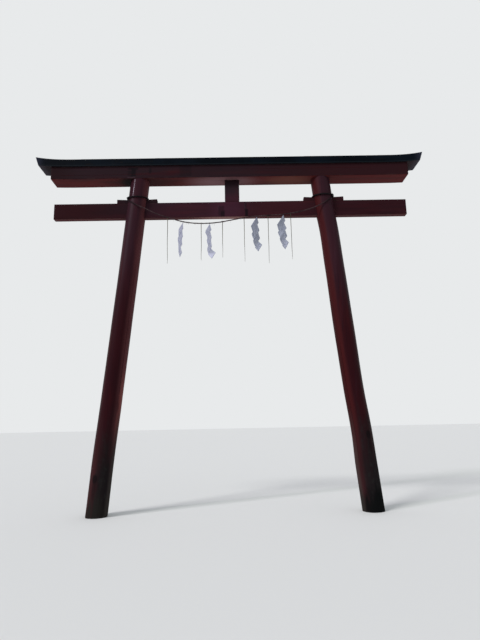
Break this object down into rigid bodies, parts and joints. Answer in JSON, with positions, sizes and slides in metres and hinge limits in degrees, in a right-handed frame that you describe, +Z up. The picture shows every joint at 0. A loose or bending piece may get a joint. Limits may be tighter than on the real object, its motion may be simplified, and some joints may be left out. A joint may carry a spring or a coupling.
{
  "type": "torii gate",
  "caption": "Wooden shrine gate: leaning log posts, a wedged tie beam and a double curved lintel with a dark metal casing, hung with a straw rope and paper streamers.",
  "frame": {"origin": "centre of the left post's foot, on the ground", "axes": "+X along the gate from the left post to the right one, +Y from the front to the back, +Z up"},
  "size_m": [4.8388, 0.3385, 4.297],
  "materials": {
    "painted_timber": "old vermilion paint, satin, dirty near the ground",
    "bare_timber": "weathered, paint mostly gone",
    "casing_sheet": "dark coated sheet, satin",
    "straw": "twisted rice straw, weathered",
    "white_paper": "matt folded paper"
  },
  "bodies": {
    "root": {"post_left": "painted_timber", "post_right": "painted_timber", "nuki_tie_beam": "painted_timber", "wedge_left_outer": "painted_timber", "wedge_left_inner": "painted_timber", "wedge_right_inner": "painted_timber", "wedge_right_outer": "painted_timber", "centre_strut": "painted_timber", "shimaki_lower_lintel": "painted_timber", "kasagi_upper_lintel": "bare_timber", "casing_front": "casing_sheet", "casing_back": "casing_sheet", "casing_end_left": "casing_sheet", "casing_end_right": "casing_sheet", "casing_ridge_strip": "casing_sheet", "rope_ring_left": "straw", "rope_ring_right": "straw", "rope_knot_left": "straw", "rope_knot_right": "straw", "rope_span": "straw", "streamer_1": "white_paper", "streamer_2": "white_paper", "streamer_3": "white_paper", "streamer_4": "white_paper", "straw_tail_1": "straw", "straw_tail_2": "straw", "straw_tail_3": "straw", "straw_tail_4": "straw", "straw_tail_5": "straw", "straw_tail_6": "straw"}
  },
  "joints": []
}
